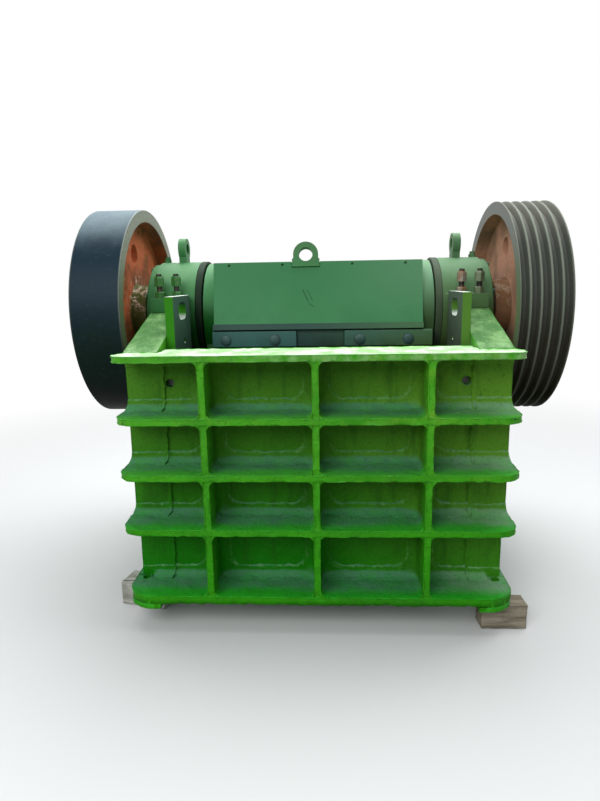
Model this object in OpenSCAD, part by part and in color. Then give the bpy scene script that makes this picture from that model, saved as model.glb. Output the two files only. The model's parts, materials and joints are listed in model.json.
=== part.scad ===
// Jaw crusher with a long, narrow feed mouth, standing on wooden blocks.
// Millimetres, +Z up. The front (fixed jaw) wall faces -Y, the flywheel is at -X.
// Depths are counted from the front edge of the frame and shifted to the middle once.

/* [Frame] */
// Height of the wooden blocks under the feet
block_h = 96; // [80:2:110]
// Height of the frame from the foot pads to the top flange
frame_h = 920; // [900:5:940]
// Half width of the top flange
flange_hw = 696; // [690:1:700]
// Half width over the sloping wings behind the top flange
wing_hw = 680; // [676:1:686]
// Half width over the rounded horizontal ribs
rib_hw = 698; // [692:1:702]
// Half width over the base flange and feet
base_hw = 700; // [696:1:710]
// Length of the frame from the front edge to the rear
frame_l = 1265; // [1255:5:1300]
// Plate thickness of the ribs and of the top flange
rib_t = 24; // [20:1:28]
// Depth of the rib cells in front of the wall
cell_d = 170; // [150:5:180]
// Thickness of the front wall behind the cells
front_t = 43; // [36:1:48]
// Depth of the top flange between the side walls
flange_d = 222; // [218:1:230]
// Distance from the middle to the outer vertical ribs
rib_x = 382; // [370:2:394]
// Corner radius inside the rib cells
cell_r = 22; // [14:1:30]
// Half distance between the inner faces of the side walls
wall_x = 557; // [555:1:560]
// Thickness of the side walls
wall_t = 40; // [32:1:46]

/* [Drive] */
// Depth of the main shaft behind the front edge
shaft_y = 740; // [738:1:746]
// Height of the main shaft above the top flange
shaft_up = 110; // [106:1:114]
// Throw of the eccentric
ecc = 10; // [8:1:10]
// Radius of the shaft in its bearings
shaft_r = 75; // [72:1:80]
// Radius of the eccentric part of the shaft
ecc_r = 92; // [88:1:96]
// Radius of the shaft in the wheels
hub_r = 70; // [65:1:72]
// Radius of both wheels
wheel_r = 438; // [430:1:442]
// Width of both wheels
wheel_w = 196; // [180:2:200]
// Gap between a bearing housing and the inner face of a wheel
wheel_gap = 65; // [60:1:75]
// Length of the shaft beyond a wheel
shaft_out = 55; // [45:1:65]

/* [Jaws] */
// Radius of the swing jaw's barrel
barrel_r = 216; // [208:1:220]
// Half length of the barrel
barrel_hl = 473; // [465:1:474]
// Slope of the swing jaw's face
jaw_a = 16.5; // [15.5:0.5:17]
// Depth of the swing jaw's face at its top
jaw_y = 500; // [498:1:510]
// Length of the swing jaw plate along its face
jaw_l = 714; // [690:2:714]
// Distance between two jaw teeth
tooth_p = 40; // [36:1:44]
// Height of a jaw tooth
tooth_h = 18; // [12:1:20]

/* [Bearings] */
// Radius of the bearing housings
house_r = 214; // [208:1:214]
// Inner end of a bearing housing
house_x = 508; // [506:1:512]
// Outer end of a bearing housing
house_x2 = 680; // [676:1:684]
// Radius of the bearing seat in the housing
seat_r = 140; // [130:1:150]
// Height of the cap flange's top above the shaft
flange_up = 66; // [60:1:70]

/* [Hidden] */
$fn = 64;
rod_out = 265;
total_l = frame_l + rod_out;
run = 0.05;
z_foot = block_h;
z_top = block_h + frame_h;
pad_t = 20;
base_t = 32;
z_base = z_foot + pad_t;
z_floor = z_base + base_t;
rib_z = [z_top - 215, z_top - 414, z_top - 615];
panel_y = cell_d + 2;
wall_y = cell_d - 4;
inner_y = panel_y + front_t;
wing_y = 115;
shaft_z = z_top + shaft_up;
barrel_z = shaft_z - ecc;
seat_z = shaft_z + 10;
flange_z = shaft_z + flange_up;
wheel_x = house_x2 + wheel_gap;
shaft_hl = wheel_x + wheel_w + shaft_out;
cap_d = 262;
cap_hw = wing_hw - 3;
jaw_z = z_top - 30;
jaw_hw = barrel_hl - 3;
cheek_x = wall_x - 32;
cheek_y = inner_y + 37;
cheek_y2 = jaw_y + 15;
slot_y = cheek_y + 135;
hole_r = 14;
hole_x = base_hw - 40;
hole_y = 150;
hole_y2 = frame_l - 85;
foot_y2 = 330;
rear_y = frame_l - 105;
rear_t = 45;
toggle_r = 14;
toggle_hw = 300;
toggle_y1 = 581;
toggle_z1 = z_foot + 256;
toggle_y2 = rear_y - 75;
toggle_z2 = z_foot + 344;
rod_z = z_foot + 184;
rod_r = 16;
coil_p = 24;
cap_x = [wall_x + 18, wall_x + 88];
stud_r = 12;
stud_off = 228;
guard_a = 12;
guard_y = barrel_r + 11;
guard_top = 170;
guard_low = 83;

// Shared helpers

module sited() translate([0, -total_l / 2, 0]) children();

module box(x0, x1, y0, y1, z0, z1)
    translate([x0, y0, z0]) cube([x1 - x0, y1 - y0, z1 - z0]);

module rod_x(x0, x1, y, z, r)
    translate([x0, y, z]) rotate([0, 90, 0]) cylinder(h = x1 - x0, r = r);

module rod_y(x, y0, y1, z, r)
    translate([x, y0, z]) rotate([-90, 0, 0]) cylinder(h = y1 - y0, r = r);

module profile_x(x0, x1)
    translate([x0, 0, 0]) rotate([90, 0, 90]) linear_extrude(x1 - x0) children();

module front_corners(hw, d, r) intersection() {
    union() {
        translate([-hw, r]) square([2 * hw, d - r]);
        translate([-hw + r, 0]) square([2 * (hw - r), d]);
        for (s = [-1, 1]) translate([s * (hw - r), r]) circle(r);
    }
    translate([-hw - 1, -1]) square([2 * hw + 2, d + 1]);
}

module slab(hw, d, r, z0, z1)
    translate([0, 0, z0]) linear_extrude(z1 - z0) front_corners(hw, d, r);

module cell_corner(x, z, sx, sz)
    translate([x, 1, z]) rotate([-90, 0, 0]) linear_extrude(cell_d + 2) difference() {
        translate([sx < 0 ? -cell_r : -1, sz > 0 ? -cell_r : -1]) square(cell_r + 1);
        translate([sx * cell_r, -sz * cell_r]) circle(cell_r);
    }

module jaw_frame() translate([0, jaw_y, jaw_z]) rotate([-jaw_a, 0, 0]) children();

module guard_frame() translate([0, shaft_y, barrel_z]) rotate([-guard_a, 0, 0]) children();

module barrel() rod_x(-barrel_hl, barrel_hl, shaft_y, barrel_z, barrel_r);

function teeth(n, y0, y1) = [for (i = [0 : 2 * n]) [(i / 2 - n / 2) * tooth_p, i % 2 == 0 ? y0 : y1]];

// Frame

module front_wall() sited() color("limegreen") difference() {
    union() {
        slab(flange_hw, 75, 50, z_top - rib_t, z_top);
        translate([0, 0, z_top - rib_t]) linear_extrude(rib_t) polygon([[-flange_hw, 74],
            [flange_hw, 74], [wing_hw, wing_y], [-wing_hw, wing_y]]);
        box(-wall_x, wall_x, 0, flange_d, z_top - rib_t, z_top);
        for (z = rib_z) {
            slab(rib_hw, wall_y, 72, z - rib_t, z);
            box(-wall_x, wall_x, 90, panel_y + 1, z - rib_t, z);
        }
        slab(base_hw, wall_y, 100, z_base, z_floor);
        box(-wall_x, wall_x, 90, inner_y, z_base, z_floor);
        for (x = [-rib_x, 0, rib_x])
            box(x - rib_t / 2, x + rib_t / 2, 2, panel_y + 1, z_base + 1, z_top - 1);
        box(-wall_x, wall_x, panel_y, inner_y, z_base, z_top - 1);
        for (b = [[z_floor, rib_z[2] - rib_t], [rib_z[2], rib_z[1] - rib_t],
                  [rib_z[1], rib_z[0] - rib_t], [rib_z[0], z_top - rib_t]])
            for (x = [-rib_x, 0, rib_x]) for (s = [-1, 1]) {
                cell_corner(x + s * rib_t / 2, b[0], s, 1);
                cell_corner(x + s * rib_t / 2, b[1], s, -1);
            }
    }
    for (s = [-1, 1]) {
        rod_y(s * (wall_x - 24), panel_y - 5, inner_y + 5, z_top - 120, 15);
        translate([s * hole_x, hole_y, z_base - 1]) cylinder(h = base_t + 2, r = hole_r);
    }
}

module stud_places() for (x = cap_x) for (s = [-1, 1])
    translate([x, shaft_y + s * stud_off, seat_z]) children();

module side_wall() sited() color("limegreen") difference() {
    union() {
        profile_x(wall_x, wall_x + wall_t) polygon([[wall_y, z_base], [frame_l, z_base],
            [frame_l, z_top - 60], [shaft_y + cap_d, seat_z - 2], [shaft_y - cap_d, seat_z - 2],
            [wall_y, z_top + 10]]);
        profile_x(wall_x, wing_hw - 1) polygon([[wing_y, z_top - rib_t],
            [shaft_y - cap_d, seat_z - 32], [shaft_y + cap_d, seat_z - 32],
            [frame_l, z_top - 92], [frame_l, z_top - 60], [shaft_y + cap_d, seat_z],
            [shaft_y - cap_d, seat_z], [wing_y, z_top]]);
        box(wall_x, base_hw - 19, wall_y, wall_y + 40, z_base, z_top);
        box(wall_x, base_hw - 10, wall_y, wall_y + 40, rib_z[2] - rib_t, z_top);
        box(wall_x, base_hw - 10, frame_l - 40, frame_l, z_base, z_top - 70);
        box(wall_x, base_hw, wall_y, frame_l, z_base, z_floor);
        for (y = [shaft_y - cap_d, shaft_y + cap_d - 40])
            box(wall_x, wing_hw - 10, y, y + 40, z_base, seat_z - 10);
        rod_x(wall_x, wing_hw - 3, shaft_y, shaft_z, house_r + 36);
    }
    rod_x(wall_x - 5, wing_hw + 5, shaft_y, shaft_z, house_r);
    box(wall_x - 5, wing_hw + 5, shaft_y - 300, shaft_y + 300, seat_z, seat_z + 300);
    translate([hole_x, hole_y2, z_base - 1]) cylinder(h = base_t + 2, r = hole_r);
    stud_places() translate([0, 0, -22]) cylinder(h = 24, r = stud_r);
}

module left_side_wall() mirror([1, 0, 0]) side_wall();

module right_side_wall() side_wall();

module rear_wall() sited() color("limegreen") difference() {
    union() {
        box(-wall_x, wall_x, rear_y, rear_y + rear_t, z_base, z_top - 80);
        for (z = rib_z) box(-wall_x, wall_x, rear_y, frame_l, z - rib_t, z);
        box(-wall_x, wall_x, rear_y - 60, frame_l, z_base, z_floor);
        for (x = [-rib_x, rib_x]) box(x - rib_t / 2, x + rib_t / 2, rear_y, frame_l - 5,
            z_base, z_top - 100);
        box(-toggle_hw - 20, toggle_hw + 20, rear_y - 100, rear_y + 1, toggle_z2 - 90, toggle_z2 - 60);
        for (x = [-rib_x + 12, rib_x - 36]) box(x, x + 24, rear_y - 90, rear_y + 1,
            z_base, toggle_z2 - 60);
    }
    box(-30, 30, rear_y - 5, frame_l + 5, rod_z - 25, rod_z + 45);
}

module foot(y0, y1, hy, rounded) sited() color("limegreen") difference() {
    translate([0, y0, z_foot]) linear_extrude(pad_t) difference() {
        if (rounded) front_corners(base_hw, y1 - y0, 100);
        else translate([-base_hw, 0]) square([2 * base_hw, y1 - y0]);
        translate([-base_hw - 1, -1]) square([2 * base_hw - 131, y1 - y0 + 2]);
    }
    translate([hole_x, hy, z_foot - 1]) cylinder(h = pad_t + 2, r = hole_r);
}

module front_right_foot() foot(0, foot_y2, hole_y, true);

module front_left_foot() mirror([1, 0, 0]) front_right_foot();

module rear_right_foot() foot(frame_l - 255, frame_l, hole_y2, false);

module rear_left_foot() mirror([1, 0, 0]) rear_right_foot();

module block(x, y, a, l, w) sited() translate([x, y, 0]) rotate(a)
    translate([-l / 2, -w / 2, 0]) cube([l, w, block_h]);

module front_left_block() color("burlywood") block(17 - base_hw, hole_y + 77, -13, 190, 104);

module front_right_block() color("tan") block(base_hw - 29, hole_y - 60, 2, 168, 78);

module rear_left_block() color("burlywood") block(10 - base_hw, frame_l - 180, 0, 160, 100);

module rear_right_block() color("tan") block(base_hw - 10, frame_l - 180, 0, 160, 100);

module fixed_jaw_plate() sited() color("slategray") {
    box(-wall_x, wall_x, inner_y, cheek_y - 1, z_floor + 60, z_top - rib_t - 8);
    translate([0, 0, z_floor + 70]) linear_extrude(frame_h - 160)
        polygon(concat([[-13 * tooth_p, cheek_y - 2]], teeth(26, cheek_y - 1, cheek_y - 1 + tooth_h),
            [[13 * tooth_p, cheek_y - 2]]));
}

module cheek_plate() sited() color("slategray") difference() {
    profile_x(cheek_x, wall_x) polygon([[cheek_y, z_floor + 150], [slot_y - 27, z_floor + 150],
        [cheek_y2, z_top - 150], [cheek_y2, z_top + 187], [cheek_y, z_top + 187]]);
    for (y = [-24, 24]) rod_x(cheek_x - 5, wall_x + 5, slot_y + y, z_top + 130, 33);
    box(cheek_x - 5, wall_x + 5, slot_y - 24, slot_y + 24, z_top + 97, z_top + 163);
    rod_x(cheek_x - 5, cheek_x + 14, slot_y + 17, z_top + 12, 10);
}

module left_cheek_plate() mirror([1, 0, 0]) cheek_plate();

module right_cheek_plate() cheek_plate();

// Bearings

module housing(z0, z1) intersection() {
    rod_x(house_x, house_x2, shaft_y, shaft_z, house_r);
    box(house_x - 5, house_x2 + 5, 0, frame_l, z0, z1);
}

module bearing_base() sited() color("green") difference() {
    housing(shaft_z - 300, seat_z);
    rod_x(house_x - 5, house_x2 + 5, shaft_y, shaft_z, seat_r);
}

module left_bearing_base() mirror([1, 0, 0]) bearing_base();

module right_bearing_base() bearing_base();

module bearing_cap() sited() color("green") difference() {
    union() {
        housing(seat_z, shaft_z + 300);
        box(wall_x + 5, cap_hw, shaft_y - cap_d, shaft_y + cap_d, seat_z, flange_z);
        translate([wall_x + 17, shaft_y - 32, shaft_z + 190]) cube([32, 64, 80]);
        rod_x(wall_x + 17, wall_x + 49, shaft_y, shaft_z + 270, 46);
        translate([house_x2 - 16, shaft_y, shaft_z + 180]) cylinder(h = 46, r = 15);
        translate([house_x2 - 16, shaft_y, shaft_z + 180]) cylinder(h = 58, r = 11, $fn = 6);
    }
    rod_x(house_x - 5, house_x2 + 5, shaft_y, shaft_z, seat_r);
    rod_x(wall_x + 12, wall_x + 54, shaft_y, shaft_z + 270, 24);
    stud_places() translate([0, 0, -1]) cylinder(h = flange_up + 1, r = stud_r + 0.5);
}

module left_bearing_cap() mirror([1, 0, 0]) bearing_cap();

module right_bearing_cap() bearing_cap();

module bearing() sited() color("gray") difference() {
    rod_x(house_x + 30, house_x2 - 10, shaft_y, shaft_z, seat_r);
    rod_x(house_x, house_x2, shaft_y, shaft_z, shaft_r + run);
}

module left_bearing() mirror([1, 0, 0]) bearing();

module right_bearing() bearing();

module end_cover() sited() color("green") difference() {
    union() {
        rod_x(house_x2, house_x2 + 30, shaft_y, shaft_z, house_r - 8);
        rod_x(house_x2 + 26, house_x2 + 38, shaft_y, shaft_z, house_r - 28);
    }
    rod_x(house_x2 - 5, house_x2 + 45, shaft_y, shaft_z, shaft_r + 5);
}

module left_end_cover() mirror([1, 0, 0]) end_cover();

module right_end_cover() end_cover();

module seal_ring() sited() color("darkgreen") difference() {
    rod_x(barrel_hl + 6, house_x, shaft_y, shaft_z, house_r + 2);
    rod_x(barrel_hl, house_x + 5, shaft_y, shaft_z, shaft_r + 25);
}

module left_seal_ring() mirror([1, 0, 0]) seal_ring();

module right_seal_ring() seal_ring();

module cap_studs() sited() color("gray") stud_places() {
    translate([0, 0, -22]) cylinder(h = 175, r = stud_r);
    for (z = [[-10, 27], [37, 41]]) translate([0, 0, flange_up + z[0]]) rotate(30)
        cylinder(h = z[1], r = 20, $fn = 6);
}

module left_cap_studs() mirror([1, 0, 0]) cap_studs();

module right_cap_studs() cap_studs();

// Toggle at the rear

module toggle_shape(r) {
    len = norm([toggle_y2 - toggle_y1, toggle_z2 - toggle_z1]);
    ang = atan2(toggle_z2 - toggle_z1, toggle_y2 - toggle_y1);
    translate([toggle_y1, toggle_z1]) rotate(ang) {
        circle(r);
        translate([len, 0]) circle(r);
        translate([0, -r]) square([len, 2 * r]);
    }
}

module toggle_plate() sited() color("slategray")
    profile_x(20 - toggle_hw, toggle_hw - 20) toggle_shape(toggle_r);

module toggle_block() sited() color("slategray") difference() {
    box(-toggle_hw, toggle_hw, toggle_y2 - 18, rear_y, toggle_z2 - 60, toggle_z2 + 60);
    profile_x(-toggle_hw - 5, toggle_hw + 5) toggle_shape(toggle_r);
}

// Shaft and wheels

module eccentric_shaft() sited() color("silver") {
    rod_x(-shaft_hl + 12, shaft_hl - 12, shaft_y, shaft_z, hub_r);
    rod_x(-wheel_x, wheel_x, shaft_y, shaft_z, shaft_r);
    rod_x(-barrel_hl - 2, barrel_hl + 2, shaft_y, barrel_z, ecc_r);
}

module wheel(grooves, turn) {
    p = wheel_w / 5;
    difference() {
        rotate_extrude() polygon([[hub_r, 0], [118, 0], [118, 62], [386, 62], [386, 0],
            [wheel_r, 0], [wheel_r, wheel_w], [386, wheel_w], [386, wheel_w - 72],
            [118, wheel_w - 72], [118, wheel_w + 4], [hub_r, wheel_w + 4]]);
        for (a = [0 : 90 : 270]) rotate(a + turn) translate([253, 0, -5]) cylinder(h = 250, r = 42);
        if (grooves) for (i = [0 : 4]) translate([0, 0, (i + 0.5) * p])
            rotate_extrude() polygon([[wheel_r + 2, -17], [wheel_r + 2, 17],
                [wheel_r - 25, 7], [wheel_r - 25, -7]]);
    }
}

module flywheel() sited() color("darkslategray") translate([-wheel_x, shaft_y, shaft_z])
    rotate([0, -90, 0]) wheel(false, -5);

module grooved_pulley() sited() color("darkslategray") translate([wheel_x, shaft_y, shaft_z])
    rotate([0, 90, 0]) wheel(true, -2);

module shaft_plate() sited() color("silver")
    rod_x(shaft_hl - 12, shaft_hl, shaft_y, shaft_z, 88);

module left_shaft_plate() mirror([1, 0, 0]) shaft_plate();

module right_shaft_plate() shaft_plate();

// Swing jaw

module swing_jaw() sited() color("green") difference() {
    union() {
        barrel();
        guard_frame() profile_x(-424, 424) polygon([[10 - guard_y, 5 - guard_low],
            [10 - guard_y, guard_top - 2], [-64, 203], [0, 0], [-150, 5 - guard_low]]);
        jaw_frame() box(-jaw_hw, jaw_hw, 56, 116, -jaw_l, 90);
        for (x = [-440, -220, 0, 220, 440]) profile_x(x - 22, x + 22) polygon([
            [600, jaw_z - 30], [400, z_foot + 188], [536, z_foot + 188], [536, z_foot + 375],
            [shaft_y - 70, z_foot + 540], [shaft_y + 140, barrel_z - 100], [shaft_y, barrel_z]]);
        box(-toggle_hw - 30, toggle_hw + 30, 390, 540, z_foot + 184, z_foot + 316);
        box(-toggle_hw - 26, toggle_hw + 26, 500, 560, z_foot + 180, z_foot + 216);
        rod_y(0, 400, 566, rod_z, 30);
    }
    rod_x(-barrel_hl - 5, barrel_hl + 5, shaft_y, barrel_z, ecc_r + run);
    rod_y(0, 470, 600, rod_z, rod_r);
}

module moving_jaw_plate() sited() color("slategray") jaw_frame() {
    box(10 - cheek_x, cheek_x - 10, tooth_h, 56, -jaw_l, 0);
    translate([0, 0, -jaw_l + 6]) linear_extrude(jaw_l - 12) mirror([0, 1])
        polygon(concat([[-12.5 * tooth_p, -tooth_h - 1]], teeth(25, -tooth_h, 0),
            [[12.5 * tooth_p, -tooth_h - 1]]));
}

module barrel_guard() sited() color("green") guard_frame() difference() {
    box(-426, 425, -guard_y, 10 - guard_y, -guard_low, guard_top);
    for (x = [-361, -142, 142, 357]) rod_y(x, -guard_y - 2, 12 - guard_y, guard_top - 13, 6);
    box(-105, 11, -guard_y - 2, 12 - guard_y, guard_top - 24, guard_top + 5);
}

module jaw_lip() sited() color("darkslategray") difference() {
    union() {
        guard_frame() box(-430, 427, -guard_y - 3, 30 - guard_y, -guard_low - 24, -guard_low);
        box(-86, 106, 516, 535, jaw_z + 40, barrel_z - 46);
        box(-86, 106, 513, 600, jaw_z + 2, jaw_z + 54);
    }
    barrel();
    jaw_frame() box(-jaw_hw, jaw_hw, 56, 120, -50, 95);
}

module jaw_wedge(x0, x1) sited() color("slategray") difference() {
    box(x0, x1, 497, 600, jaw_z + 2, jaw_z + 66);
    barrel();
    jaw_frame() box(-jaw_hw, jaw_hw, 56, 120, -50, 95);
}

module left_jaw_wedge() jaw_wedge(-435, -87);

module right_jaw_wedge() jaw_wedge(108, 465);

module jaw_lifting_eye() sited() color("green") guard_frame() translate([-47, 0, 0]) difference() {
    union() {
        rod_y(0, -guard_y - 5, 29 - guard_y, guard_top + 29, 51);
        box(-56, 56, -guard_y - 5, 29 - guard_y, guard_top - 18, guard_top + 12);
        box(-51, 51, -guard_y - 5, 29 - guard_y, guard_top, guard_top + 29);
    }
    rod_y(0, -guard_y - 10, 35 - guard_y, guard_top + 29, 28);
    profile_x(-60, 60) polygon([[10 - guard_y, 5 - guard_low], [10 - guard_y, guard_top - 2],
        [-64, 203], [0, 0], [-150, 5 - guard_low]]);
}

module front_toggle_seat() sited() color("slategray") difference() {
    box(-toggle_hw, toggle_hw, 540, 575, toggle_z1 - 40, toggle_z1 + 66);
    box(-toggle_hw - 5, toggle_hw + 5, 552, 580, toggle_z1 - 41, toggle_z1 + 26);
}

module tension_rod() sited() color("silver") {
    rod_y(0, 470, total_l, rod_z, rod_r);
    for (y = [total_l - 64, total_l - 34]) translate([0, y, rod_z]) rotate([-90, 0, 0])
        cylinder(h = 26, r = 32, $fn = 6);
}

module spring_plate() sited() color("gray") difference() {
    rod_y(0, total_l - 80, total_l - 64, rod_z, 60);
    rod_y(0, total_l - 90, total_l - 60, rod_z, rod_r);
}

module tension_spring() sited() color("gray")
    translate([0, total_l - 80 - 9 * coil_p, rod_z]) rotate([-90, 0, 0]) rotate_extrude()
        polygon(concat([[30, 0]], [for (i = [0 : 18]) [i % 2 == 0 ? 36 : 48, i * coil_p / 2]],
            [[30, 9 * coil_p]]));

front_wall();
left_side_wall();
right_side_wall();
rear_wall();
front_left_foot();
front_right_foot();
rear_left_foot();
rear_right_foot();
front_left_block();
front_right_block();
rear_left_block();
rear_right_block();
fixed_jaw_plate();
left_cheek_plate();
right_cheek_plate();
left_bearing_base();
right_bearing_base();
left_bearing_cap();
right_bearing_cap();
left_bearing();
right_bearing();
left_end_cover();
right_end_cover();
left_seal_ring();
right_seal_ring();
left_cap_studs();
right_cap_studs();
toggle_block();
toggle_plate();
eccentric_shaft();
flywheel();
grooved_pulley();
left_shaft_plate();
right_shaft_plate();
swing_jaw();
moving_jaw_plate();
barrel_guard();
jaw_lip();
left_jaw_wedge();
right_jaw_wedge();
jaw_lifting_eye();
front_toggle_seat();
tension_rod();
tension_spring();
spring_plate();
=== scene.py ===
import json
import math

import bmesh
import bpy
from mathutils import Matrix, Vector, noise as fieldNoise


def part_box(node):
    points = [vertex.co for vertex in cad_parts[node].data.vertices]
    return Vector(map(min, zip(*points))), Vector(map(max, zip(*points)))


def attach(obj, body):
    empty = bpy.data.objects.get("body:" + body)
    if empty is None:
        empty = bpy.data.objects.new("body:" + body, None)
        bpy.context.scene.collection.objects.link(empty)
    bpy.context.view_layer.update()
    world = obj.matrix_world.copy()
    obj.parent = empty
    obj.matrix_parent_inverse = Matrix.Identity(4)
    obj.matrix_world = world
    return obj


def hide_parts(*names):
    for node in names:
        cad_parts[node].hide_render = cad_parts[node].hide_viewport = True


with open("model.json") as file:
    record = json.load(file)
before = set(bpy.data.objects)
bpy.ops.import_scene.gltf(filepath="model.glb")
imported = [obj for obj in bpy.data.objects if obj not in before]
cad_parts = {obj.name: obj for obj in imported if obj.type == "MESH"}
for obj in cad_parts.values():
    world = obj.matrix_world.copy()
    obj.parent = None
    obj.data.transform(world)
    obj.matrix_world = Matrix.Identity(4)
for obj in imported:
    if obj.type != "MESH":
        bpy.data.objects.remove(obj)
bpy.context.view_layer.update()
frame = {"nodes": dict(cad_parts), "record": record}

cadNodes = frame["nodes"]
scene = bpy.context.scene
print("frame loaded:", len(cadNodes), "nodes")

# Places that several pieces share, in metres
layout = {
    "shaftY": -0.025,
    "shaftZ": 1.126,
    "barrelZ": 1.116,
    "guardLean": math.radians(12.0),
    "rodZ": 0.280,
    "wallX": 0.557,          # where the front wall meets the side walls
    "footTop": 0.116,        # where the feet meet the base flange
}
quarter = math.pi / 2
white = (1, 1, 1, 1)


# Materials: small helpers that wire nodes together

def put(nt, value, socket):
    # a socket is linked, a number or colour is set
    if isinstance(value, bpy.types.NodeSocket):
        nt.links.new(value, socket)
    else:
        socket.default_value = value


def maths(nt, operation, a, b=0.0):
    node = nt.nodes.new("ShaderNodeMath")
    node.operation = operation
    put(nt, a, node.inputs[0])
    put(nt, b, node.inputs[1])
    return node.outputs[0]


def plus(nt, a, b):
    return maths(nt, "ADD", a, b)


def minus(nt, a, b):
    return maths(nt, "SUBTRACT", a, b)


def ramp(nt, value, low, high):
    # 0 at low, 1 at high, eased between
    node = nt.nodes.new("ShaderNodeMapRange")
    node.interpolation_type = "SMOOTHSTEP"
    put(nt, value, node.inputs["Value"])
    put(nt, low, node.inputs["From Min"])
    put(nt, high, node.inputs["From Max"])
    return node.outputs["Result"]


def blend(nt, factor, a, b):
    node = nt.nodes.new("ShaderNodeMix")
    node.data_type = "RGBA"
    put(nt, factor, node.inputs["Factor"])
    put(nt, a, node.inputs["A"])
    put(nt, b, node.inputs["B"])
    return node.outputs["Result"]


def noise(nt, place, scale, detail=4.0, rough=0.6, stretch=None):
    if stretch:
        node = nt.nodes.new("ShaderNodeMapping")
        node.inputs["Scale"].default_value = stretch
        nt.links.new(place, node.inputs["Vector"])
        place = node.outputs["Vector"]
    node = nt.nodes.new("ShaderNodeTexNoise")
    nt.links.new(place, node.inputs["Vector"])
    node.inputs["Scale"].default_value = scale
    node.inputs["Detail"].default_value = detail
    node.inputs["Roughness"].default_value = rough
    return node.outputs["Fac"]


def startMaterial(name):
    mat = bpy.data.materials.new(name)
    mat.use_nodes = True
    nt = mat.node_tree
    place = nt.nodes.new("ShaderNodeTexCoord").outputs["Object"]
    split = nt.nodes.new("ShaderNodeSeparateXYZ")
    nt.links.new(place, split.inputs[0])
    return mat, nt, nt.nodes["Principled BSDF"], place, split.outputs


def colour(r, g, b):
    # 0 to 255 as seen on screen, turned to linear light
    def lin(c):
        c /= 255
        return c / 12.92 if c < 0.04045 else ((c + 0.055) / 1.055) ** 2.4
    return (lin(r), lin(g), lin(b), 1)


def inksOf(look):
    # reads a look's colours by name
    return lambda key: colour(*look[key])


def bumps(nt, shader, *layers):
    # each layer is (height, depth in metres)
    total = None
    for height, depth in layers:
        part = maths(nt, "MULTIPLY", height, depth)
        total = part if total is None else plus(nt, total, part)
    node = nt.nodes.new("ShaderNodeBump")
    node.inputs["Distance"].default_value = 1.0
    node.inputs["Strength"].default_value = 1.0
    nt.links.new(total, node.inputs["Height"])
    nt.links.new(node.outputs["Normal"], shader.inputs["Normal"])


def lookingAlong(nt, axis):
    # 1 on faces that look along the axis, 0 on those square to it, -1 on those that look back
    node = nt.nodes.new("ShaderNodeNewGeometry")
    split = nt.nodes.new("ShaderNodeSeparateXYZ")
    nt.links.new(node.outputs["Normal"], split.inputs[0])
    return split.outputs[axis]


def times(nt, *factors):
    total = factors[0]
    for factor in factors[1:]:
        total = maths(nt, "MULTIPLY", total, factor)
    return total


framePaint = {
    "ribHigh": (72, 162, 30), "ribLow": (48, 150, 8),        # front edges, from the top down
    "cellShadeHigh": (74, 130, 30), "cellShadeLow": (12, 118, 0),      # panels at the back of the cells, in painted shade that deepens toward the bottom
    # the right-hand panels' colour is painted warm light
    "cellRight": (102, 152, 44), "cellDark": (34, 84, 14),
    # yellow patches on the ribs, stronger toward the right as painted warm light
    "yellowAndWarmLight": (118, 172, 48), "deep": (40, 120, 18),
    # blue-green dust on the rib tops with a painted sky sheen, paler on the right as painted warm light
    "dust": (74, 130, 96), "dustRight": (112, 150, 116), "shelf": (30, 158, 34), "shelfHigh": (76, 170, 62),
    "highlitRidge": (134, 186, 124), "worn": (146, 196, 124),       # the coves' upper edge with a painted highlight, the top flange's front
    # pale dust on the flange top, and white painted glints
    "topDust": (214, 236, 208), "top": (142, 206, 122), "paintedGlint": (236, 246, 228),
    # the sloping wings: a darker green as painted shade, with pale dust patches
    "wingShade": (62, 116, 52), "wingPale": (118, 164, 100), "chip": (52, 70, 32),
    "lumps": 0.0042, "rough": 0.46, "gloss": 0.14,
}


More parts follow.
